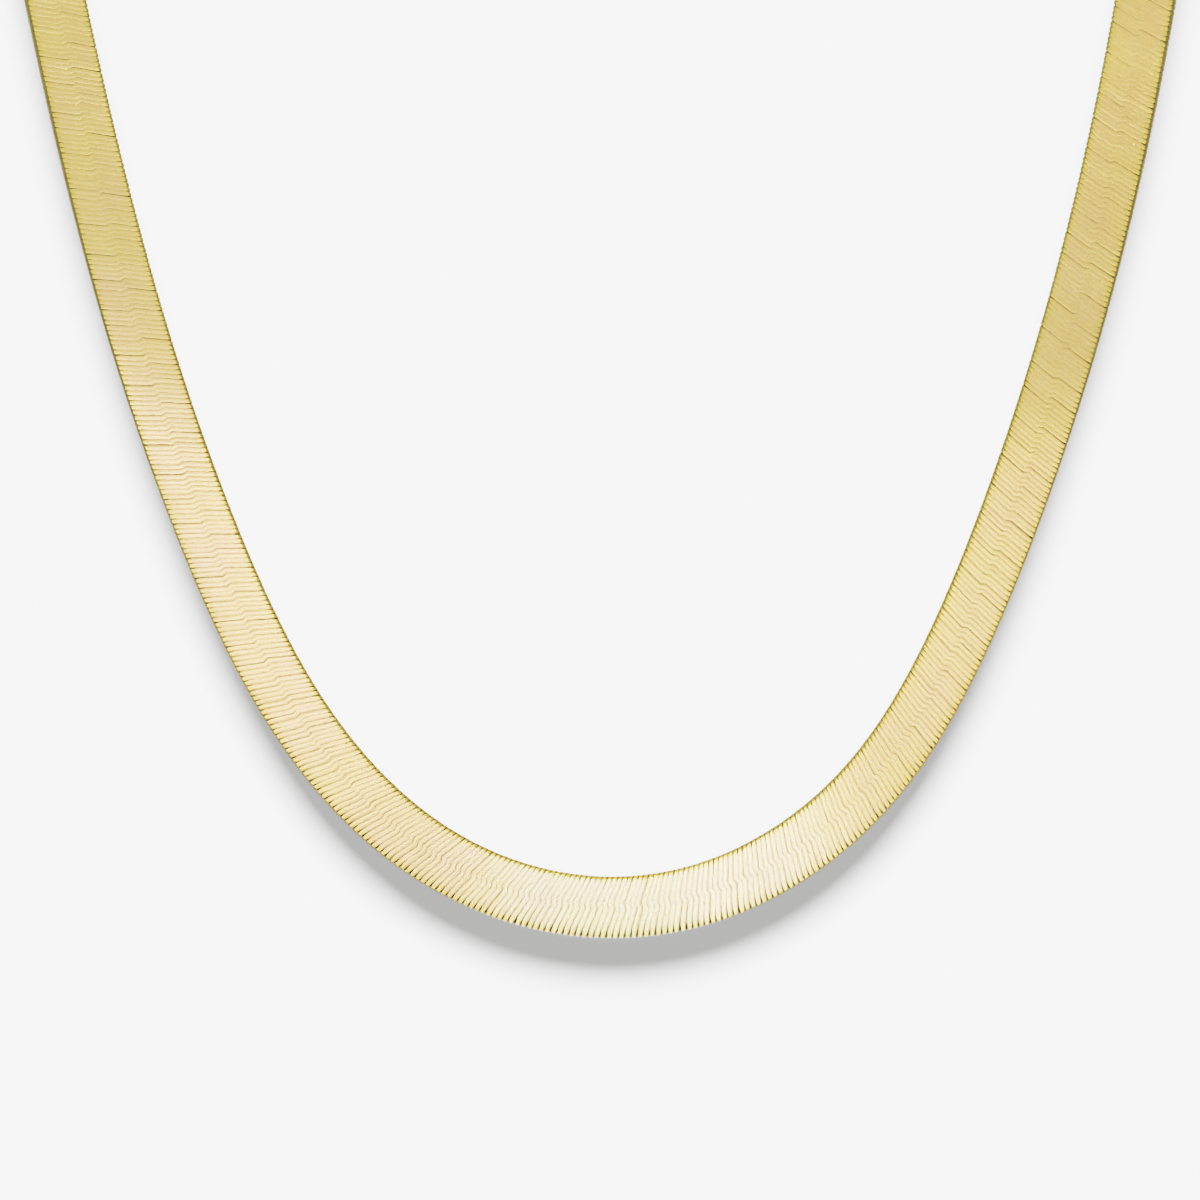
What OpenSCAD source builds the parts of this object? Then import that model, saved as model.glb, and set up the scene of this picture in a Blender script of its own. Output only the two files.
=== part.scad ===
// Flat snake chain: a woven herringbone band closed at the back of the neck by a plain clasp.
// The necklace hangs in the XZ plane with its front towards -Y. The origin is at the top, on the
// inner side of the loop under the clasp, where the necklace is carried.

/* [Chain] */
// Length of the whole necklace, clasp included
chain_length = 450; // [445:1:520]
// Width of the woven band
band_width = 5; // [4:0.1:5]
// Thickness of the woven band
band_thick = 1; // [0.8:0.05:1.1]
// Radius of the band's rounded edges
edge_radius = 0.35; // [0.2:0.05:0.4]
// Bend over the left shoulder, in degrees for each 10 mm
shoulder_bend_left = 2.4; // [2.2:0.1:3]
// Bend over the right shoulder, in degrees for each 10 mm
shoulder_bend_right = 2; // [1.8:0.1:3]

/* [End caps] */
// Length of the sleeve that holds the end of the band
cap_length = 4.5; // [4:0.1:6]
// Wall of the sleeve
cap_wall = 0.3; // [0.25:0.05:0.4]
// Length of band held in the sleeve
cap_grip = 2.5; // [2:0.1:3]
// Play between the band and the sleeve
cap_play = 0.1; // [0.05:0.05:0.15]
// Radius of the hole in the sleeve's tongue
tongue_hole = 0.9; // [0.8:0.05:1]
// Width of metal round the hole in the tongue
tongue_rim = 0.7; // [0.6:0.05:0.8]
// Thickness of the tongue
tongue_thick = 0.7; // [0.6:0.05:0.8]
// Radius of the sleeve's two closed corners
cap_corner = 0.6; // [0.4:0.05:0.8]

/* [Rings and clasp] */
// Inner radius of a jump ring
ring_inner = 1.4; // [1.3:0.05:1.5]
// Diameter of the jump ring's wire
ring_wire = 0.7; // [0.6:0.05:0.75]
// Inner radius of the clasp's wide end
hook_inner = 1.3; // [1.2:0.05:1.4]
// Diameter of the clasp's bar
hook_wire = 1.2; // [1:0.05:1.3]
// Radius of the middle line of the clasp's narrow end
heel_radius = 1; // [0.9:0.05:1.1]
// Distance between the centres of the clasp's two ends
clasp_reach = 4.2; // [3.8:0.1:5]
// Inner radius of the clasp's eye
eye_inner = 0.75; // [0.7:0.05:0.85]
// Diameter of the wire of the clasp's eye
eye_wire = 0.7; // [0.6:0.05:0.8]
// Play between two linked pieces
link_play = 0.15; // [0.1:0.05:0.2]

/* [Hidden] */
$fn = 48;
band_gold = [0.90, 0.80, 0.55];
fitting_gold = [0.88, 0.75, 0.44];

// How the hanging band bends in its own plane. Each row is a place on the band: its distance from
// the lowest point in mm, then the bend there on the left and on the right, in degrees for each 10 mm.
at_column = 0;
left_column = 1;
right_column = 2;
bends = [
    [0, 22.3, 22.3],
    [8, 20.7, 21.9],
    [16, 19.4, 18.9],
    [24, 15.0, 17.7],
    [32, 11.1, 10.4],
    [40, 6.0, 5.1],
    [50, 3.0, 2.7],
    [64, 2.7, 2.6],
    [80, 1.7, 2.2],
    [96, 1.0, 2.0]
];
hang_length = 96;
hang_step = 2;

// How far the band's face turns towards the middle of the loop: distance from the lowest point in
// mm, then the turn in degrees.
face_turns = [[0, 0], [52, 0], [65, 5], [78, 10], [92, 14], [150, 12], [190, 0]];

// Length of band between two sections where the bend is constant
arc_step = 4;
// Points on each rounded corner of the band's section
corner_points = 3;
// How far the clasp's straight sides run into its bent ends, and how much thinner they are
side_overlap = 0.15;
side_slack = 0.04;

// The stretch that hangs free, as rows of [distance, x, z, heading] measured from the lowest point
// outwards: each step turns by the bend at its middle.
function bend_at(distance, column) =
    lookup(distance, [for (row = bends) [row[at_column], row[column]]]) / 10;
function hang(column) = [
    for (s = 0, x = 0, z = 0, heading = 0, turn = 0;
         s <= hang_length;
         turn = hang_step * bend_at(s + hang_step / 2, column),
         x = x + hang_step * cos(heading + turn / 2),
         z = z + hang_step * sin(heading + turn / 2),
         heading = heading + turn,
         s = s + hang_step)
    [s, x, z, heading]
];

// The shoulder goes on from the last row of a hang in one arc until the band runs straight up.
function arc_radius(bend) = 10 / bend * 180 / PI;
function shoulder(last, bend) =
    let (radius = arc_radius(bend), steps = ceil((90 - last[3]) / bend * 10 / arc_step))
    [for (i = [1 : steps])
        let (heading = last[3] + (90 - last[3]) * i / steps)
        [last[0] + (heading - last[3]) / bend * 10,
         last[1] + radius * (sin(heading) - sin(last[3])),
         last[2] + radius * (cos(last[3]) - cos(heading)),
         heading]];
function arm(column, bend) =
    let (free = hang(column))
    concat(free, shoulder(free[len(free) - 1], bend));

arm_left = arm(left_column, shoulder_bend_left);
arm_right = arm(right_column, shoulder_bend_right);
top_left = arm_left[len(arm_left) - 1];
top_right = arm_right[len(arm_right) - 1];

// The fittings between the tongues of the two caps hang in a level row. Two linked rings lie their
// inner radii less the play apart. Places along the row are measured from the middle of the clasp.
hook_line = hook_inner + hook_wire / 2;
eye_line = eye_inner + eye_wire / 2;
hook_at = clasp_reach / 2;
heel_at = -clasp_reach / 2;
eye_at = heel_at - heel_radius - eye_line;
ring_left_at = eye_at - eye_inner - ring_inner + link_play;
ring_right_at = hook_at + hook_inner + ring_inner - link_play;
tongue_left_at = ring_left_at - ring_inner - tongue_hole + link_play;
tongue_right_at = ring_right_at + ring_inner + tongue_hole - link_play;
row_middle = (tongue_left_at + tongue_right_at) / 2;
row_half = (tongue_right_at - tongue_left_at) / 2;

// Each cap stands on the end of an arc round the back of the neck and slants up to its tongue.
// The slant is the angle at which the tongue reaches the row.
neck_radius = (top_left[1] + top_right[1]) / 2;
neck_x = (top_right[1] - top_left[1]) / 2;
cap_start = tongue_hole + tongue_rim / 2;
cap_span = cap_start + cap_length;
tongue_radius = sqrt(pow(neck_radius, 2) + pow(cap_span, 2));
cap_slant = asin(row_half / tongue_radius) + atan(cap_span / neck_radius);
row_height = neck_radius * cos(cap_slant) + cap_span * sin(cap_slant);
neck_arc = (90 - cap_slant) / 180 * PI * neck_radius;

// The arcs stand on two straight rises, which bring both arms to one height and the necklace to
// its length.
both_rises = chain_length - top_left[0] - top_right[0] - 2 * (neck_arc + cap_span + row_half);
rise_left = (both_rises + top_right[2] - top_left[2]) / 2;
neck_z = top_left[2] + rise_left;
rise_right = neck_z - top_right[2];

// Where the row, the middle of the neck's arcs and the lowest point lie from the origin
row_z = hook_line + hook_wire / 2;
neck_centre_z = row_z - row_height;
low_x = -neck_x;
low_z = neck_centre_z - neck_z;

// Rows of [x, z, heading of travel, face turn] along the whole band, from its left end down round
// the lowest point and up to its right end. Both ends run straight into their caps.
neck_steps = ceil(neck_arc / arc_step);
function face_turn(distance) = lookup(distance, face_turns);
function arm_row(row, side) =
    [low_x + side * row[1], low_z + row[2], side * row[3], face_turn(row[0])];
function neck_row(i, side) =
    let (angle = (90 - cap_slant) * i / neck_steps,
         start = side < 0 ? top_left[0] + rise_left : top_right[0] + rise_right)
    [side * neck_radius * cos(angle),
     neck_centre_z + neck_radius * sin(angle),
     side * (90 + angle),
     face_turn(start + neck_arc * i / neck_steps)];
function end_row(side) =
    [side * (neck_radius * sin(cap_slant) - cap_grip * cos(cap_slant)),
     neck_centre_z + neck_radius * cos(cap_slant) + cap_grip * sin(cap_slant),
     side * (180 - cap_slant),
     0];
route = concat(
    [end_row(-1)],
    [for (i = [neck_steps : -1 : 0]) neck_row(i, -1)],
    [for (i = [len(arm_left) - 1 : -1 : 0]) arm_row(arm_left[i], -1)],
    [for (i = [1 : len(arm_right) - 1]) arm_row(arm_right[i], 1)],
    [for (i = [0 : neck_steps]) neck_row(i, 1)],
    [end_row(1)]
);

// The band's section, a rectangle with rounded corners: across the band towards the inside of the
// loop, then out of its front
section = [
    for (corner = [[1, 1, 0], [-1, 1, 90], [-1, -1, 180], [1, -1, 270]])
    for (i = [0 : corner_points - 1])
    let (angle = corner[2] + 90 * i / (corner_points - 1))
    [corner[0] * (band_width / 2 - edge_radius) + edge_radius * cos(angle),
     corner[1] * (band_thick / 2 - edge_radius) + edge_radius * sin(angle)]
];

// A section point at a row of the route. Across runs to the inside of the loop and front runs out
// of the face, both turned by the row's face turn.
function place(row, point) =
    let (in_x = -sin(row[2]), in_z = cos(row[2]), turn = row[3],
         across = [in_x * cos(turn), sin(turn), in_z * cos(turn)],
         front = [in_x * sin(turn), -cos(turn), in_z * sin(turn)])
    [row[0], 0, row[1]] + point[0] * across + point[1] * front;

module woven_band() {
    sides = len(section);
    rings = len(route);
    color(band_gold)
    polyhedron(
        points = [for (row = route) for (point = section) place(row, point)],
        faces = concat(
            [[for (j = [0 : sides - 1]) j]],
            [for (i = [0 : rings - 2]) for (j = [0 : sides - 1]) for (half = [0, 1])
                let (a = i * sides + j, b = i * sides + (j + 1) % sides)
                half == 0 ? [a, a + sides, b + sides] : [a, b + sides, b]],
            [[for (j = [sides - 1 : -1 : 0]) (rings - 1) * sides + j]]
        ),
        convexity = 10
    );
}

// Carries a fitting to its place in the level row: X runs along the row and Z out of the loop.
module in_row(distance) {
    translate([distance - row_middle, 0, row_z])
    children();
}

// Carries the right cap to the end of its arc, where the mouth of its sleeve stands.
module on_arc_end() {
    translate([0, 0, neck_centre_z])
    rotate([0, cap_slant, 0])
    translate([0, 0, neck_radius])
    children();
}

// A flat plate of the given thickness with its outline in the plane of the loop
module plate(thickness) {
    rotate([90, 0, 0])
    linear_extrude(height = thickness, center = true)
    children();
}

// A round bar bent to a full ring or a part of one, in the plane of the loop
module bent_bar(line_radius, wire, from = 0, sweep = 360) {
    rotate([90, 0, 0])
    rotate([0, 0, from])
    rotate_extrude(angle = sweep)
    translate([line_radius, 0])
    circle(d = wire, $fn = 24);
}

// The cap is a sleeve soldered to a pierced tongue. It is drawn with the mouth of the sleeve at its
// origin and the tongue towards -X.
module end_cap() {
    sleeve_width = band_width + 2 * (cap_play + cap_wall);
    sleeve_thick = band_thick + 2 * (cap_play + cap_wall);
    shoulder_half = sleeve_width / 2 - cap_corner;
    color(fitting_gold)
    difference() {
        union() {
            plate(sleeve_thick)
            translate([-cap_length, -shoulder_half])
            union() {
                translate([cap_corner, -cap_corner])
                square([cap_length - cap_corner, sleeve_width]);
                square([cap_length, 2 * shoulder_half]);
                for (side = [0, 1])
                translate([cap_corner, side * 2 * shoulder_half])
                circle(r = cap_corner);
            }
            plate(tongue_thick)
            translate([-cap_span, 0])
            union() {
                circle(r = tongue_hole + tongue_rim);
                polygon([
                    [0, -tongue_hole - tongue_rim],
                    [cap_start + cap_corner, -shoulder_half],
                    [cap_start + cap_corner, shoulder_half],
                    [0, tongue_hole + tongue_rim]
                ]);
            }
        }
        translate([-cap_span, 0, 0])
        rotate([90, 0, 0])
        cylinder(r = tongue_hole, h = sleeve_thick, center = true);
        translate([-cap_grip - cap_play, -band_thick / 2 - cap_play, -band_width / 2 - cap_play])
        cube([cap_length, band_thick + 2 * cap_play, band_width + 2 * cap_play]);
    }
}

module end_cap_left() {
    mirror([1, 0, 0])
    on_arc_end()
    end_cap();
}

module end_cap_right() {
    on_arc_end()
    end_cap();
}

// A jump ring stands across the row, so the tongue and the clasp pass through it.
module jump_ring() {
    color(fitting_gold)
    rotate([90, 0, 0])
    bent_bar(ring_inner + ring_wire / 2, ring_wire);
}

module jump_ring_left() {
    in_row(ring_left_at)
    jump_ring();
}

module jump_ring_right() {
    in_row(ring_right_at)
    jump_ring();
}

// The clasp is one closed piece: a drop-shaped loop of round bar, whose sides run tangent to its
// wide and narrow ends, with an eye soldered to the narrow end. The sides are a hair thinner than
// the bent ends and run a little way into them.
module clasp() {
    slope = asin((hook_line - heel_radius) / clasp_reach);
    side_length = sqrt(pow(clasp_reach, 2) - pow(hook_line - heel_radius, 2));
    color(fitting_gold)
    in_row(0) {
        translate([hook_at, 0, 0])
        bent_bar(hook_line, hook_wire, -90 - slope, 180 + 2 * slope);
        translate([heel_at, 0, 0])
        bent_bar(heel_radius, hook_wire, 90 + slope, 180 - 2 * slope);
        for (side = [-1, 1])
        translate([heel_at - heel_radius * sin(slope), 0, side * heel_radius * cos(slope)])
        rotate([0, 90 - side * slope, 0])
        translate([0, 0, -side_overlap])
        cylinder(d = hook_wire - side_slack, h = side_length + 2 * side_overlap, $fn = 24);
        translate([eye_at, 0, 0])
        bent_bar(eye_line, eye_wire);
    }
}

woven_band();
end_cap_left();
end_cap_right();
jump_ring_left();
jump_ring_right();
clasp();
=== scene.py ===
import bmesh
import bpy
import numpy as np
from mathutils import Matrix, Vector


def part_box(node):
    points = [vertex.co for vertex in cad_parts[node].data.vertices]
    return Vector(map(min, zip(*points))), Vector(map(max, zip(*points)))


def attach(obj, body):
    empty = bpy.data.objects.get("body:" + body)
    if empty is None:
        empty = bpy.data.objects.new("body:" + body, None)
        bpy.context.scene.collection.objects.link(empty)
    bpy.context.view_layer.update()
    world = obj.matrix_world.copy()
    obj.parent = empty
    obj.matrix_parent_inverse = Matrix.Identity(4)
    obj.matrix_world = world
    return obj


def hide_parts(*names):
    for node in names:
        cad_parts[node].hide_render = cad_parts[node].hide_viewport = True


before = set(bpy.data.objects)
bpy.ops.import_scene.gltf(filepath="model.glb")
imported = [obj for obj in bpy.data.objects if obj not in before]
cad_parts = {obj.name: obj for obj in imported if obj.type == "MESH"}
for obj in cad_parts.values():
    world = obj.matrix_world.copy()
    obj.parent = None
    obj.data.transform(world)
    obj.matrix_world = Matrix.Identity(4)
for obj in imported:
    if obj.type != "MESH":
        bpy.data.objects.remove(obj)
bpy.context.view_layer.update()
mm = 0.001

# Camera
# The necklace is seen square on from in front, from far enough away that its arms hardly converge.
# The lowest point of its outer edge, a little right of the loop's middle, and the size of a millimetre
# in the picture give the camera's place: the picture's middle lies so far above and beside that point.
picture_width_px = 1200
px_for_each_mm = 12.2
lowest_edge_px = (612.2, 936.9)
sensor_width = 36.0
lens = 300.0
nearest_seen = 0.05
farthest_seen = 20.0
band_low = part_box("woven_band")[0]
lowest_x = 1.555 * mm
picture_width = picture_width_px / px_for_each_mm * mm
camera_distance = lens / sensor_width * picture_width
aim = Vector((
    lowest_x - (lowest_edge_px[0] - picture_width_px / 2) / px_for_each_mm * mm,
    0.0,
    band_low.z + (lowest_edge_px[1] - picture_width_px / 2) / px_for_each_mm * mm,
))
camera = bpy.data.objects.new("camera", bpy.data.cameras.new("camera"))
camera.data.sensor_width = sensor_width
camera.data.lens = lens
camera.data.clip_start = nearest_seen
camera.data.clip_end = farthest_seen
camera.location = aim - Vector((0.0, camera_distance, 0.0))
camera.rotation_euler = (np.pi / 2, 0.0, 0.0)
bpy.context.scene.collection.objects.link(camera)
bpy.context.scene.camera = camera

# Route of the band
# The band hangs in a plane that faces the camera: free round the bottom, up over the shoulders, and
# in two arcs round the back of the neck into its caps. Each row gives the distance from the lowest
# point in mm and the bend there on the left and on the right, in degrees for each 10 mm.
chain_length = 450.0
hang_bends = np.array([
    [0, 22.3, 22.3],
    [8, 20.7, 21.9],
    [16, 19.4, 18.9],
    [24, 15.0, 17.7],
    [32, 11.1, 10.4],
    [40, 6.0, 5.1],
    [50, 3.0, 2.7],
    [64, 2.7, 2.6],
    [80, 1.7, 2.2],
    [96, 1.0, 2.0],
])
left_column = 1
right_column = 2

# The bends in the table and over the shoulders are in degrees for each bend_span of mm.
bend_span = 10.0
shoulder_bend_left = 2.4
shoulder_bend_right = 2.0

# Each row is a distance from the lowest point in mm and how far the band's face turns towards the
# middle of the loop there, in degrees.
face_turns = np.array([[0, 0], [52, 0], [65, 5], [78, 10], [92, 14], [150, 12], [190, 0]])

# The caps, in mm: from a tongue's hole to the cap's mouth, the length of band held inside, half the
# distance between the two holes, and the holes' height. The route is walked in steps of route_step.
cap_span = 5.75
cap_grip = 2.5
tongue_row_half = 7.575
tongue_row_z = 2.5
route_step = 0.05


def walk(bend):
    """Heading and place along a line that bends by so many radians for each mm at every step: the
    heading is the running sum of the bend, the place the running sum of its cosine and sine."""
    heading = np.concatenate([[0.0], np.cumsum((bend[1:] + bend[:-1]) / 2 * route_step)])
    middle = (heading[1:] + heading[:-1]) / 2
    x = np.concatenate([[0.0], np.cumsum(np.cos(middle) * route_step)])
    z = np.concatenate([[0.0], np.cumsum(np.sin(middle) * route_step)])
    return heading, x, z


def arm_bend(distance, column, shoulder_bend):
    """Bend of an arm in radians for each mm: the table's rows joined by straight lines where it hangs
    free, and one value over the shoulder."""
    free = np.interp(distance, hang_bends[:, 0], hang_bends[:, column])
    return np.radians(np.where(distance <= hang_bends[-1, 0], free, shoulder_bend)) / bend_span


def arm_top(column, shoulder_bend):
    """Distance, x and z of the place where an arm first runs straight up."""
    distance = np.arange(0.0, chain_length / 2, route_step)
    heading, x, z = walk(arm_bend(distance, column, shoulder_bend))
    return [float(np.interp(np.pi / 2, heading, value)) for value in (distance, x, z)]


top_left = arm_top(left_column, shoulder_bend_left)
top_right = arm_top(right_column, shoulder_bend_right)
neck_radius = (top_left[1] + top_right[1]) / 2
cap_slant = np.arcsin(tongue_row_half / np.hypot(neck_radius, cap_span)) + np.arctan2(cap_span, neck_radius)
neck_arc = (np.pi / 2 - cap_slant) * neck_radius
both_rises = chain_length - top_left[0] - top_right[0] - 2 * (neck_arc + cap_span + tongue_row_half)
rise_left = (both_rises + top_right[2] - top_left[2]) / 2
rise_right = both_rises - rise_left
neck_centre_z = tongue_row_z - neck_radius * np.cos(cap_slant) - cap_span * np.sin(cap_slant)
low_x = (top_left[1] - top_right[1]) / 2
low_z = neck_centre_z - top_left[2] - rise_left


def side_route(column, shoulder_bend, top, rise):
    """Rows of distance, x, z, heading and face turn from the lowest point to the band's end: an arm,
    a straight rise, an arc round the neck, and the straight end in the cap."""
    reach = top[0] + rise + neck_arc + cap_grip
    distance = np.arange(0.0, reach + route_step / 2, route_step)
    bend = arm_bend(distance, column, shoulder_bend)
    bend[distance > top[0]] = 0.0
    bend[distance > top[0] + rise] = 1 / neck_radius
    bend[distance > top[0] + rise + neck_arc] = 0.0
    heading, x, z = walk(bend)
    turn = np.radians(np.interp(distance, face_turns[:, 0], face_turns[:, 1]))
    return np.stack([distance, x, z, heading, turn])


# The left side is walked outwards too and then mirrored, so its distance, x and heading change sign.
side_left = side_route(left_column, shoulder_bend_left, top_left, rise_left)
side_right = side_route(right_column, shoulder_bend_right, top_right, rise_right)
mirror_signs = np.array([[-1], [-1], [1], [-1], [1]])
mirrored = side_left[:, :0:-1] * mirror_signs
route = np.concatenate([mirrored, side_right], axis=1)
route[1] += low_x
route[2] += low_z

# Woven band
# About a thousand closed links of flattened wire, woven side by side and rolled flat to a band 5 mm
# wide. Each link crosses the face in two slanted bars with a short step back between them, rolls
# over both edges, where its wire is rounder, and lies half a pitch further along at the back.

# Sizes are in mm, a lean is mm along the band for each mm across it, and a tilt is in degrees. A reach
# is how far a tip fans out, in mm at a bend of one radian for each mm, and bunch_bend is such a bend.
# A bend gives the links more room towards the outer edge. Of that room, opened_share stays open between
# them, and farther out than wedge_start wedge_share does, so that their tips part in wedges.
band_width = 5.0
band_thick = 1.0
link_pitch = 0.42
tight_gap = 0.012
mean_gap = 0.024
bunch_fewest = 2
bunch_most = 6
wire_thick = 0.30
wire_crown = 0.012
wire_tuck = 0.34
step_half = 0.21
step_lean = -0.38
outer_lean = 0.36
inner_lean = 0.41
end_lean = 0.25
lean_change = 2.05
opened_share = 0.2
wedge_share = 0.65
wedge_start = 1.35
tip_reach = 3.5
edge_reach = 2.0
bunch_bend = 0.05
bunch_least = 0.4
taper_start = 1.9
outer_bar_end = 2.31
inner_bar_end = 2.25
end_tilt = 3.5
end_drop = 0.01
side_half = 0.33
end_width = 0.30
side_width = 0.25
step_narrow = 0.01
half_width = band_width / 2
half_thick = band_thick / 2
seed = 7
random = np.random.default_rng(seed)


def bar_line(across):
    """How far along the band a link's middle line lies at a distance across it: straight stretches
    of four leans, outer end to inner end."""
    knots = np.array([-half_width, -lean_change, -step_half, step_half, lean_change, half_width])
    leans = np.array([end_lean, outer_lean, step_lean, inner_lean, end_lean])
    along = np.concatenate([[0.0], np.cumsum(leans * np.diff(knots))])
    return np.interp(across, knots, along - np.interp(0.0, knots, along))


# A link's closed line: over the front from the outer edge to the inner, over that edge, back and over
# the outer edge. Each row has the place across the band and out of its face, the outward normal in
# degrees from the face's, the share of the half pitch between front and back, and the width, where 0
# is as wide as the pitch lets it be.
end_out = half_thick - end_drop
link_rows = np.array([
    [-outer_bar_end, end_out, -end_tilt, 0, end_width],
    [-taper_start, half_thick, 0, 0, 0],
    [-wedge_start, half_thick, 0, 0, 0],
    [-step_half, half_thick, 0, 0, 0],
    [step_half, half_thick, 0, 0, 0],
    [taper_start, half_thick, 0, 0, 0],
    [inner_bar_end, end_out, end_tilt, 0, end_width],
    [half_width, side_half, 65, 0.2, side_width],
    [half_width, -side_half, 115, 0.8, side_width],
    [inner_bar_end, -end_out, 180 - end_tilt, 1, end_width],
    [taper_start, -half_thick, 180, 1, 0],
    [step_half, -half_thick, 180, 1, 0],
    [-step_half, -half_thick, 180, 1, 0],
    [-wedge_start, -half_thick, 180, 1, 0],
    [-taper_start, -half_thick, 180, 1, 0],
    [-outer_bar_end, -end_out, 180 + end_tilt, 1, end_width],
    [-half_width, -side_half, 245, 0.8, side_width],
    [-half_width, side_half, 295, 0.2, side_width],
])
row_across, row_out, row_turn, row_back, row_width = link_rows.T
row_turn = np.radians(row_turn)
stations = len(link_rows)

# The wire's section, by corners: side in halves of its width, how deep, and how far tucked forward. A
# face of two slopes with a low crown between, a flank that runs down under the next link, and an
# underside that rests on the flank of the link before.
corner_side = np.array([-1, 0, 1, 1])
corner_deep = np.array([wire_crown, 0, wire_crown, wire_thick])
corner_tuck = np.array([0, 0, 0, wire_tuck])
corners = len(corner_side)


def bunched(count):
    """Where links stand off from even spacing: they lie tight in small groups with the rest of a
    group's gaps open at its end, and the sum of that is the offset."""
    gaps = np.full(count, tight_gap)
    ends = np.cumsum(random.integers(bunch_fewest, bunch_most + 1, count))
    ends = ends[ends < count]
    gaps[ends] += np.diff(ends, prepend=0) * (mean_gap - tight_gap)
    return np.cumsum(gaps - mean_gap)


distance = route[0]
route_bend = np.gradient(route[3], distance)
inner_edge = np.concatenate([[0.0], np.cumsum((1 - route_bend[1:] * half_width) * np.diff(distance))])
reach = bar_line(half_width) + link_pitch
first, last = np.interp([distance[0] + reach, distance[-1] - reach], distance, inner_edge)
count = int((last - first) / link_pitch)
places = np.interp(np.linspace(first, last, count), inner_edge, distance)
bend, heading, turn = [np.interp(places, distance, row) for row in (route_bend, route[3], route[4])]
middle_x, middle_z = [np.interp(places, distance, row) for row in route[1:3]]

# The bars lie in small groups, more evenly where the band bends, and two gaps on the outer third at the
# bottom stand wider open. Each half of a link follows the groups of its own side.
wide_gaps_at = (-6.9, 5.9)
wide_gap = 0.08
wide_gap_reach = 2.4
outer_third = half_width / 3
evened = np.clip(1 - np.abs(bend) / bunch_bend, bunch_least, 1)
outer_shift = bunched(count) * evened
inner_shift = bunched(count) * evened
pulled = np.zeros(count)
for gap_at in wide_gaps_at:
    beyond = places - gap_at
    pulled += wide_gap / 2 * np.sign(beyond) * np.clip(1 - np.abs(beyond) / wide_gap_reach, 0, 1)
inner_share = np.clip((row_across / step_half + 1) / 2, 0, 1)
third_share = np.clip((-row_across - outer_third) / (half_width - outer_third), 0, 1)
shift = (
    outer_shift[:, None] * (1 - inner_share)
    + inner_shift[:, None] * inner_share
    + pulled[:, None] * third_share
)
pitch_here = link_pitch * (1 - bend[:, None] * row_across) / (1 - bend[:, None] * half_width)
narrowed = mean_gap + step_narrow * (np.abs(row_across) == step_half)
opened = np.where(row_across < -wedge_start, wedge_share, opened_share)
opened = opened * np.maximum(pitch_here - link_pitch, 0.0)
width = np.where(row_width > 0, row_width, pitch_here - narrowed - opened)

# Where the band bends, the tips of its bars fan out past the outer edge.
stands_out = np.select([row_across == -half_width, row_across == -outer_bar_end], [edge_reach, tip_reach])
stood_out = stands_out * bend[:, None]

# Every link is a little rolled about its own line, tipped across the band and lifted.
roll_spread = np.radians(0.5)
tip_spread = np.radians(0.25)
lift_spread = 0.003
most_spreads = 2.0
roll, tip, lift = random.normal(0.0, 1.0, (3, count, 1, 1)).clip(-most_spreads, most_spreads)
from_line = corner_side * width[..., None] / 2 + corner_tuck
deep = corner_deep * np.where(corner_deep == wire_crown, width[..., None] / link_pitch, 1.0)
along = (bar_line(row_across) + row_back * link_pitch / 2 + shift)[..., None] + from_line
across = (row_across - stood_out)[..., None] - deep * np.sin(row_turn)[:, None]
out = row_out[:, None] - deep * np.cos(row_turn)[:, None]
out = out + roll * roll_spread * from_line + tip * tip_spread * across + lift * lift_spread

still = np.zeros(count)
travel = np.stack([np.cos(heading), still, np.sin(heading)], axis=-1)
across_way = np.stack([-np.sin(heading) * np.cos(turn), np.sin(turn), np.cos(heading) * np.cos(turn)], -1)
out_way = np.stack([-np.sin(heading) * np.sin(turn), -np.cos(turn), np.cos(heading) * np.sin(turn)], -1)
middle = np.stack([middle_x, still, middle_z], axis=-1)
points = middle[:, None, None] + (
    along[..., None] * travel[:, None, None]
    + across[..., None] * across_way[:, None, None]
    + out[..., None] * out_way[:, None, None]
)

# Four-sided faces join each station of a link to the next, round to the first.
row, corner = np.meshgrid(np.arange(stations), np.arange(corners), indexing="ij")
next_row, next_corner = (row + 1) % stations, (corner + 1) % corners
quad_rows = np.stack([row, row, next_row, next_row], axis=-1)
quad_corners = np.stack([corner, next_corner, next_corner, corner], axis=-1)
one_link = (quad_rows * corners + quad_corners).reshape(-1, 4)
faces = (one_link + (np.arange(count) * stations * corners)[:, None, None]).reshape(-1, 4)
links_mesh = bpy.data.meshes.new("woven_links")
links_mesh.vertices.add(points.size // 3)
links_mesh.vertices.foreach_set("co", (points * mm).astype(np.float32).ravel())
links_mesh.loops.add(faces.size)
links_mesh.loops.foreach_set("vertex_index", faces.astype(np.int32).ravel())
links_mesh.polygons.add(len(faces))
links_mesh.polygons.foreach_set("loop_start", np.arange(0, faces.size, 4, dtype=np.int32))
links_mesh.update(calc_edges=True)
links_mesh.shade_smooth()

# The crown is round, and the wire's other long edges and the bends where its bars end are sharp.
edge_ends = np.empty(len(links_mesh.edges) * 2, dtype=np.int32)
links_mesh.edges.foreach_get("vertices", edge_ends)
edge_ends = edge_ends.reshape(-1, 2)
edge_corners = edge_ends % corners
lengthwise = edge_corners[:, 0] == edge_corners[:, 1]
crown_corner = 1
at_bar_end = np.abs(row_out[edge_ends[:, 0] // corners % stations]) == end_out
sharp = np.where(lengthwise, edge_corners[:, 0] != crown_corner, at_bar_end)
links_mesh.attributes.new("sharp_edge", "BOOLEAN", "EDGE").data.foreach_set("value", sharp)

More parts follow.
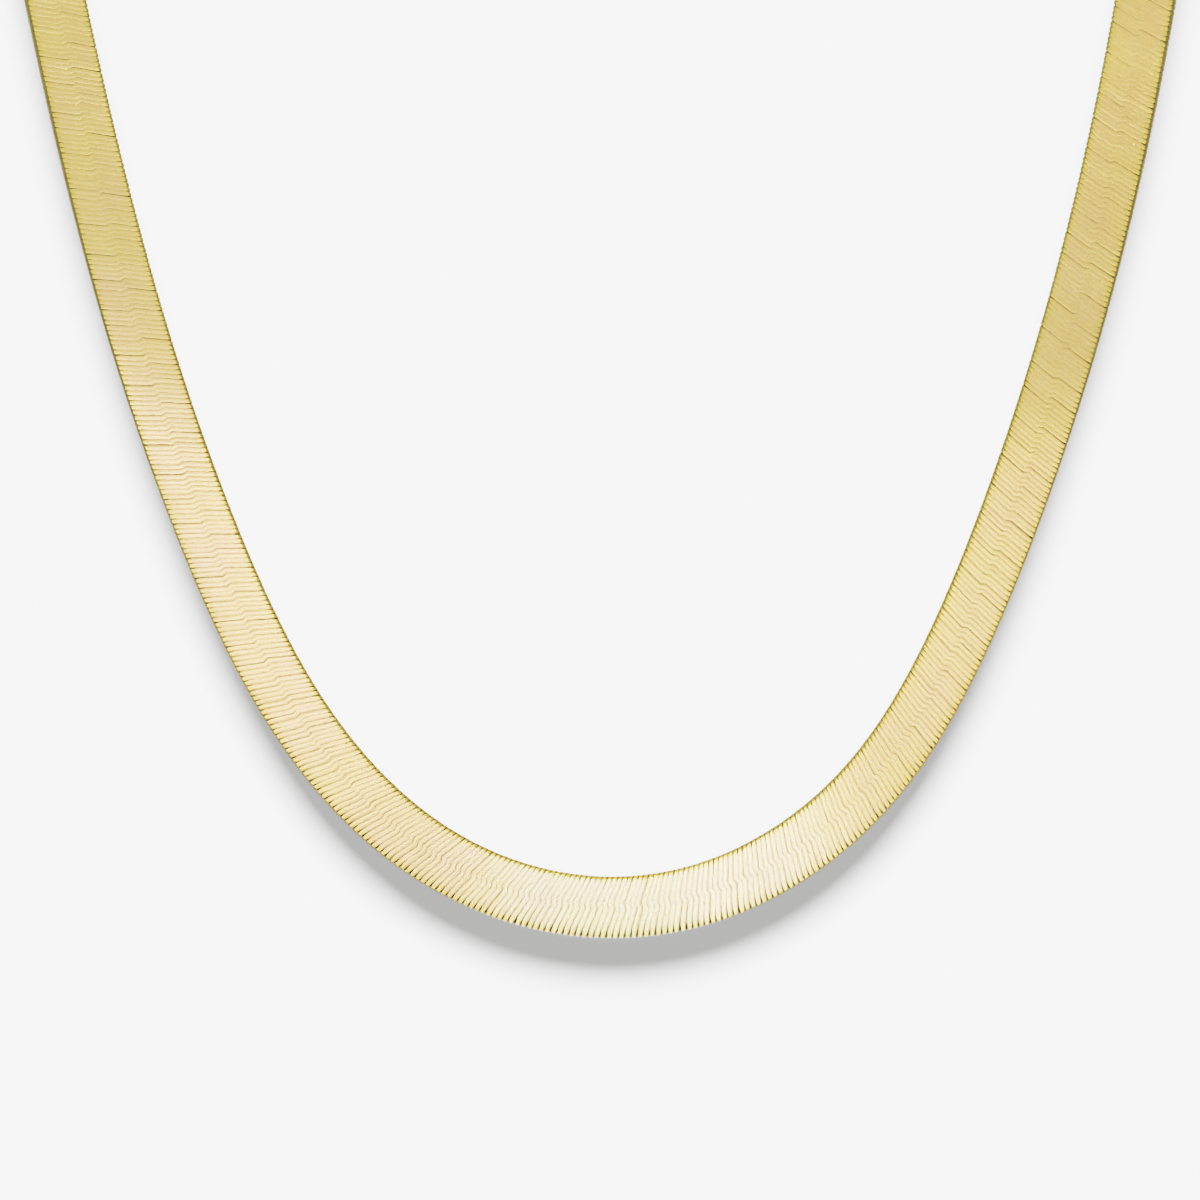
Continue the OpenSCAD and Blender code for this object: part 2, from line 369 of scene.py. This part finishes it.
# The map's U is the way round a link and V the way across its wire, both in mm, with each link's V
# set off from the last one's so that no two links have the same scratches.
steps = np.diff(np.stack([row_across, row_out], -1), axis=0, append=link_rows[:1, :2])
way_round = np.concatenate([[0.0], np.cumsum(np.hypot(steps[:, 0], steps[:, 1]))])
way_over = np.array([0.0, 0.21, 0.42, 0.87, 1.6])
map_shift = 1.7
map_u = way_round[np.stack([row, row, row + 1, row + 1], axis=-1)]
map_v = way_over[np.stack([corner, corner + 1, corner + 1, corner], axis=-1)]
map_one = np.stack([map_u, map_v], axis=-1).reshape(1, -1, 2)
map_step = np.stack([still, np.arange(count) * map_shift], axis=-1)[:, None]
wire_map = links_mesh.uv_layers.new(name="wire")
wire_map.data.foreach_set("uv", (map_one + map_step).astype(np.float32).ravel())


def point_value(name, values):
    """Stores one number for every point of the links."""
    full = np.broadcast_to(values, (count, stations, corners)).astype(np.float32)
    links_mesh.attributes.new(name, "FLOAT", "POINT").data.foreach_set("value", full.ravel())


point_value("depth", corner_deep / wire_thick)
past_bar = np.abs(row_out) <= end_out
point_value("end", past_bar[:, None])
point_value("tone", random.normal(0.0, 1.0, (count, 1, 1)).clip(-most_spreads, most_spreads))

# The links' side faces carry painted shade in olive: none up to one distance from the lowest point and
# full from another, in mm, and less on the inner edge.
unshaded_to = 10.0
fully_shaded_from = 60.0
inner_side_shade = 0.5
side_shade = np.interp(np.abs(places), [unshaded_to, fully_shaded_from], [0.0, 1.0])[:, None]
side_shade = side_shade * np.where(row_across > 0, inner_side_shade, 1.0) * (past_bar & np.roll(past_bar, -1))
side_shade = np.repeat(side_shade, corners).astype(np.float32)
links_mesh.attributes.new("side", "FLOAT", "FACE").data.foreach_set("value", side_shade)
woven_links = bpy.data.objects.new("woven_links", links_mesh)
bpy.context.scene.collection.objects.link(woven_links)

band_gold = bpy.data.materials.new("band_gold")
band_gold.use_nodes = True
band_tree = band_gold.node_tree
band_shader = band_tree.nodes["Principled BSDF"]
band_shader.inputs["Metallic"].default_value = 1.0


def mixed(tree, factor, low, high):
    """A colour that runs from low to high as the factor runs from 0 to 1."""
    mix = tree.nodes.new("ShaderNodeMix")
    mix.data_type = "RGBA"
    tree.links.new(factor, mix.inputs["Factor"])
    for socket, value in ((mix.inputs["A"], low), (mix.inputs["B"], high)):
        if isinstance(value, tuple):
            socket.default_value = (*value, 1.0)
        else:
            tree.links.new(value, socket)
    return mix.outputs["Result"]


def ranged(tree, value, from_low, from_high, to_low, to_high):
    """A number whose range from_low to from_high becomes to_low to to_high, and stops there."""
    span = tree.nodes.new("ShaderNodeMapRange")
    tree.links.new(value, span.inputs["Value"])
    limits = ("From Min", from_low), ("From Max", from_high), ("To Min", to_low), ("To Max", to_high)
    for name, limit in limits:
        span.inputs[name].default_value = limit
    return span.outputs["Result"]


def attribute(tree, name):
    """A number stored on the mesh."""
    reader = tree.nodes.new("ShaderNodeAttribute")
    reader.attribute_name = name
    return reader.outputs["Fac"]


def noise(tree, coordinates, scale, detail, stretch=(1.0, 1.0, 1.0)):
    """Soft random patches, so many to a unit of the coordinates, drawn out by the stretch."""
    placed = tree.nodes.new("ShaderNodeMapping")
    placed.inputs["Scale"].default_value = stretch
    tree.links.new(coordinates, placed.inputs["Vector"])
    patches = tree.nodes.new("ShaderNodeTexNoise")
    patches.inputs["Scale"].default_value = scale
    patches.inputs["Detail"].default_value = detail
    tree.links.new(placed.outputs["Vector"], patches.inputs["Vector"])
    return patches.outputs["Fac"]


# The plating has rosier patches and some links are a little darker. The bars' ends are yellower, partly
# the metal's own tone and partly painted reflection of light bounced between the bars. The side faces are
# olive as painted shade, heavier up the arms, and the flanks that run down between the bars are olive as
# painted shade of the gaps. Patches are counted for each metre and scratches for each mm, and the
# scratches run along the wire.
lemon_gold = (1.0, 0.72, 0.27)
rose_gold = (1.0, 0.66, 0.33)
dark_gold = (0.80, 0.55, 0.20)
end_gold_and_bounce_tint = (1.0, 0.73, 0.20)
side_shade_olive = (0.34, 0.29, 0.12)
gap_shade_olive = (0.40, 0.34, 0.13)
patches_per_m = 160.0
patch_detail = 2.0
rosy_from = 0.35
rosy_full = 0.7
darkest_share = 0.16
yellow_full = 0.7
gap_shade_from = 0.085
gap_shade_full = 0.17
scratches_per_mm = 14.0
scratch_detail = 3.0
scratch_stretch = (0.12, 1.0, 1.0)
mark_low = 0.3
mark_high = 0.7
smoothest = 0.26
roughest = 0.28
scratch_strength = 0.015
scratch_depth = 0.002 * mm
place = band_tree.nodes.new("ShaderNodeTexCoord")
patches = noise(band_tree, place.outputs["Object"], patches_per_m, patch_detail)
rosy = ranged(band_tree, patches, rosy_from, rosy_full, 0.0, 1.0)
plated = mixed(band_tree, rosy, lemon_gold, rose_gold)
tone = ranged(band_tree, attribute(band_tree, "tone"), -most_spreads, most_spreads, 0.0, darkest_share)
toned = mixed(band_tree, tone, plated, dark_gold)
# Partly painted reflection: the bars' ends turn yellower, as light bounced between the bars would colour
# them.
endward = ranged(band_tree, attribute(band_tree, "end"), 0.0, yellow_full, 0.0, 1.0)
at_end = mixed(band_tree, endward, toned, end_gold_and_bounce_tint)
# Painted shade: the side faces turn olive, more up the arms and less on the inner edge.
side_shaded = mixed(band_tree, attribute(band_tree, "side"), at_end, side_shade_olive)
# Painted shade: the flanks down in the gaps between the bars turn olive.
deep_down = ranged(band_tree, attribute(band_tree, "depth"), gap_shade_from, gap_shade_full, 0.0, 1.0)
gap_shaded = mixed(band_tree, deep_down, side_shaded, gap_shade_olive)
band_tree.links.new(gap_shaded, band_shader.inputs["Base Color"])
scratches = noise(band_tree, place.outputs["UV"], scratches_per_mm, scratch_detail, scratch_stretch)
roughness = ranged(band_tree, scratches, mark_low, mark_high, smoothest, roughest)
band_tree.links.new(roughness, band_shader.inputs["Roughness"])
brushed = band_tree.nodes.new("ShaderNodeBump")
brushed.inputs["Strength"].default_value = scratch_strength
brushed.inputs["Distance"].default_value = scratch_depth
band_tree.links.new(scratches, brushed.inputs["Height"])
band_tree.links.new(brushed.outputs["Normal"], band_shader.inputs["Normal"])
links_mesh.materials.append(band_gold)
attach(woven_links, "root")
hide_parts("woven_band")

# Fittings
# Two sleeves over the band's ends, two jump rings and a plain clasp, of polished plated metal. Each is
# a copy of the frame's own solid, in its place. The sleeves' sharp edges are rounded a little, as
# polishing leaves them.
rounding = 0.12 * mm
rounding_steps = 3
sharp_from = np.radians(40)
flat_within = np.radians(1)
weld = 0.002 * mm
bright_gold = (0.96, 0.66, 0.25)
deep_gold = (0.90, 0.60, 0.24)
tints_per_m = 300.0
tint_detail = 3.0
deep_from = 0.35
deep_full = 0.65
polish_marks_per_m = 9000.0
polish_detail = 2.0
polish_stretch = (0.15, 1.0, 1.0)
most_polished = 0.13
least_polished = 0.17
fitting_gold = bpy.data.materials.new("fitting_gold")
fitting_gold.use_nodes = True
fitting_tree = fitting_gold.node_tree
fitting_shader = fitting_tree.nodes["Principled BSDF"]
fitting_shader.inputs["Metallic"].default_value = 1.0
fitting_place = fitting_tree.nodes.new("ShaderNodeTexCoord")
tints = noise(fitting_tree, fitting_place.outputs["Object"], tints_per_m, tint_detail)
deepened = ranged(fitting_tree, tints, deep_from, deep_full, 0.0, 1.0)
fitting_tree.links.new(
    mixed(fitting_tree, deepened, bright_gold, deep_gold),
    fitting_shader.inputs["Base Color"],
)
polish_marks = noise(
    fitting_tree, fitting_place.outputs["Object"], polish_marks_per_m, polish_detail, polish_stretch)
fitting_tree.links.new(
    ranged(fitting_tree, polish_marks, mark_low, mark_high, most_polished, least_polished),
    fitting_shader.inputs["Roughness"],
)


def polished(name, rounded):
    """A node's solid with its loose triangles joined. If it is rounded, flat triangles are merged to
    whole faces and sharp edges are bevelled. Otherwise its sharp edges are only kept sharp."""
    mesh = bpy.data.meshes.new("polished_" + name)
    shape = bmesh.new()
    shape.from_mesh(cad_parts[name].data)
    bmesh.ops.remove_doubles(shape, verts=shape.verts, dist=weld)
    if rounded:
        bmesh.ops.dissolve_limit(shape, angle_limit=flat_within, verts=shape.verts, edges=shape.edges)
    shape.to_mesh(mesh)
    shape.free()
    mesh.shade_smooth()
    if not rounded:
        mesh.set_sharp_from_angle(angle=sharp_from)
    mesh.materials.clear()
    mesh.materials.append(fitting_gold)
    piece = bpy.data.objects.new("polished_" + name, mesh)
    bpy.context.scene.collection.objects.link(piece)
    if rounded:
        bevel = piece.modifiers.new("rounding", "BEVEL")
        bevel.width = rounding
        bevel.segments = rounding_steps
        bevel.limit_method = "ANGLE"
        bevel.angle_limit = sharp_from
        bevel.harden_normals = True
    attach(piece, "root")
    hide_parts(name)
    return piece


fittings = [polished(name, True) for name in ("end_cap_left", "end_cap_right")]
fittings += [polished(name, False) for name in ("jump_ring_left", "jump_ring_right", "clasp")]

# Backdrop
# A sheet of white paper well behind the necklace. One small lamp just above the lens throws the
# necklace's soft shadow onto it, a little lower in the picture than the necklace.
bpy.context.scene.view_settings.view_transform = "Filmic"
white = (1.0, 1.0, 1.0)
pale = 5.3
shadow_pale = 0.57
card_distance = 2.2
card_half_width = 0.35
card_half_height = 0.45
card_low = aim.z - card_half_height
card_high = aim.z + card_half_height
paper_white = 0.8


def flat_sheet(name, finish, corners, whiteness, glow):
    """A matt sheet through four corners, with a glow of its own. The metal doesn't reflect it."""
    mesh = bpy.data.meshes.new(name)
    mesh.from_pydata(corners, [], [(0, 1, 2, 3)])
    matt = bpy.data.materials.new(finish)
    matt.use_nodes = True
    matt_shader = matt.node_tree.nodes["Principled BSDF"]
    matt_shader.inputs["Base Color"].default_value = (whiteness, whiteness, whiteness, 1.0)
    matt_shader.inputs["Roughness"].default_value = 1.0
    matt_shader.inputs["Specular IOR Level"].default_value = 0.0
    matt_shader.inputs["Emission Color"].default_value = (*white, 1.0)
    matt_shader.inputs["Emission Strength"].default_value = glow
    mesh.materials.append(matt)
    sheet = bpy.data.objects.new(name, mesh)
    sheet.visible_glossy = False
    sheet.visible_diffuse = False
    bpy.context.scene.collection.objects.link(sheet)
    return sheet


card = flat_sheet("backdrop", "paper", [
    (-card_half_width, card_distance, card_low),
    (card_half_width, card_distance, card_low),
    (card_half_width, card_distance, card_high),
    (-card_half_width, card_distance, card_high),
], paper_white, 0.0)

# A wide floor lies far below. It glows as pale as the studio behind everything, and shades nothing.
floor_below = 2.2
floor_half = 5.0
floor = flat_sheet("floor", "floor_paint", [
    (-floor_half, -floor_half, -floor_below),
    (floor_half, -floor_half, -floor_below),
    (floor_half, floor_half, -floor_below),
    (-floor_half, floor_half, -floor_below),
], 0.0, pale)
floor.visible_shadow = False

# The lamp that throws the shadow lights the paper alone.
shadow_below = 3.7 * mm
shade_drop = shadow_below * (camera_distance + card_distance) / card_distance
shade_radius = 2.3 * mm
shade_energy = 520.0
drop_light = bpy.data.lights.new("drop_light", "AREA")
drop_light.shape = "DISK"
drop_light.size = 2 * shade_radius
drop_light.energy = shade_energy
drop = bpy.data.objects.new("drop_light", drop_light)
drop.location = camera.location + Vector((0.0, 0.0, shade_drop))
drop.rotation_euler = (np.pi / 2, 0.0, 0.0)
drop.visible_glossy = False
drop.visible_camera = False
bpy.context.scene.collection.objects.link(drop)
card_only = bpy.data.collections.new("card_only")
card_only.objects.link(card)
drop.light_linking.receiver_collection = card_only

# Soft light
# Small tinted lamps in front, level with the band, draw the lines between its bars. Panels above,
# below, behind and at the four corners light it from the other sides, in a dim warm room. They all
# light the metal alone.
metal_only = bpy.data.collections.new("metal_only")
for metal in (woven_links, *fittings):
    metal_only.objects.link(metal)


def soft_panel(name, azimuth, elevation, size, energy, colour):
    """A square soft panel that faces the necklace. Azimuth 0 is the camera's side and 90 the right."""
    round_by, up_by = np.radians(azimuth), np.radians(elevation)
    way = Vector((np.sin(round_by) * np.cos(up_by), -np.cos(round_by) * np.cos(up_by), np.sin(up_by)))
    light = bpy.data.lights.new(name, "AREA")
    light.shape = "SQUARE"
    light.size = size
    light.energy = energy
    light.color = colour
    panel = bpy.data.objects.new(name, light)
    panel.location = aim + way * panel_away
    panel.rotation_mode = "QUATERNION"
    panel.rotation_quaternion = way.to_track_quat("Z", "Y")
    panel.visible_camera = False
    panel.light_linking.receiver_collection = metal_only
    bpy.context.scene.collection.objects.link(panel)


def lamp(name, lit_at, azimuth, pool, energy, colour):
    """A small round lamp, level with the place that it is aimed at, which is so many mm across and up
    from the lowest point. Its pool of light there has a radius in mm and fades out from the middle."""
    lit = Vector((lowest_x + lit_at[0] * mm, 0.0, band_low.z + lit_at[1] * mm))
    way = Vector((np.sin(np.radians(azimuth)), -np.cos(np.radians(azimuth)), 0.0))
    light = bpy.data.lights.new(name, "SPOT")
    light.energy = energy
    light.color = colour
    light.spot_size = 2 * np.arctan(pool * mm / lamp_away)
    light.spot_blend = 1.0
    light.shadow_soft_size = lamp_radius
    bulb = bpy.data.objects.new(name, light)
    bulb.location = lit + way * lamp_away
    bulb.rotation_mode = "QUATERNION"
    bulb.rotation_quaternion = way.to_track_quat("Z", "Y")
    bulb.visible_camera = False
    bulb.light_linking.receiver_collection = metal_only
    bpy.context.scene.collection.objects.link(bulb)


# Each lamp has its name, the place that it lights, azimuth, pool, strength in watts and colour, and
# each panel its name, azimuth, elevation, size in metres, strength in watts and colour.
lamp_away = 0.88
lamp_radius = 0.006
panel_away = 1.0
corner_elevation = -12
corner_size = 0.35
corner_energy = 1.3
cool = (0.75, 0.8, 1.0)
cream = (1.0, 0.88, 0.76)
lamp("left_lamp", (-36, 24), 0, 45, 2.8, (1.0, 0.7, 0.68))
lamp("right_lamp", (32, 16), 0, 38, 2.0, (1.0, 0.7, 0.5))
lamp("bottom_lamp", (4, 4), 0, 20, 4.1, cool)
lamp("left_shoulder_lamp", (-45, 42), 13, 35, 0.6, (1.0, 0.86, 0.66))
lamp("right_shoulder_lamp", (44, 40), -13, 35, 0.7, (1.0, 0.84, 0.5))
lamp("left_top_lamp", (-50, 66), 25, 40, 1.25, (1.0, 0.84, 0.55))
lamp("right_top_lamp", (50, 64), -25, 40, 1.3, (1.0, 0.78, 0.35))
soft_panel("top_panel", 0, 50, 1.0, 8.0, (1.0, 0.7, 0.22))
soft_panel("low_panel", 0, -50, 1.0, 4.5, (1.0, 0.9, 0.65))
soft_panel("under_panel", 180, -55, 0.6, 4.0, cool)
soft_panel("over_panel", 180, 55, 0.6, 4.0, cool)
soft_panel("back_lamp", 180, 0, 0.15, 1.2, cream)
for name, azimuth in (("front_right", 45), ("back_right", 135), ("back_left", 225), ("front_left", 315)):
    soft_panel(name + "_panel", azimuth, corner_elevation, corner_size, corner_energy, cream)

world = bpy.data.worlds.new("studio")
bpy.context.scene.world = world
world.use_nodes = True
sky_nodes, sky_wires = world.node_tree.nodes, world.node_tree.links
path = sky_nodes.new("ShaderNodeLightPath")


def sky(colour, strength):
    """One even light from all round."""
    even = sky_nodes.new("ShaderNodeBackground")
    even.inputs["Color"].default_value = (*colour, 1.0)
    even.inputs["Strength"].default_value = strength
    return even.outputs["Background"]


def sky_for(kind, chosen, other):
    """The chosen light for one kind of ray, and the other light for the rest."""
    choose = sky_nodes.new("ShaderNodeMixShader")
    sky_wires.new(path.outputs[kind], choose.inputs["Fac"])
    sky_wires.new(other, choose.inputs[1])
    sky_wires.new(chosen, choose.inputs[2])
    return choose.outputs["Shader"]


# The metal reflects the dim room. The paper has an even light of its own, which is all that the
# shadow gets, and behind everything the camera sees the pale studio.
room_colour = (1.0, 0.85, 0.5)
room_front = 0.85
room = sky(room_colour, room_front)
for_paper = sky(white, shadow_pale / paper_white)
for_camera = sky(white, pale)
sky_wires.new(
    sky_for("Is Camera Ray", for_camera, sky_for("Is Diffuse Ray", for_paper, room)),
    sky_nodes["World Output"].inputs["Surface"],
)

# The room is dimmer behind the necklace, where Y is positive, than in front of it.
room_back = 0.6
dims_from = -0.3
dims_to = 0.7
looked_at = sky_nodes.new("ShaderNodeTexCoord")
parts = sky_nodes.new("ShaderNodeSeparateXYZ")
sky_wires.new(looked_at.outputs["Generated"], parts.inputs["Vector"])
room_strength = ranged(world.node_tree, parts.outputs["Y"], dims_from, dims_to, room_front, room_back)
sky_wires.new(room_strength, room.node.inputs["Strength"])
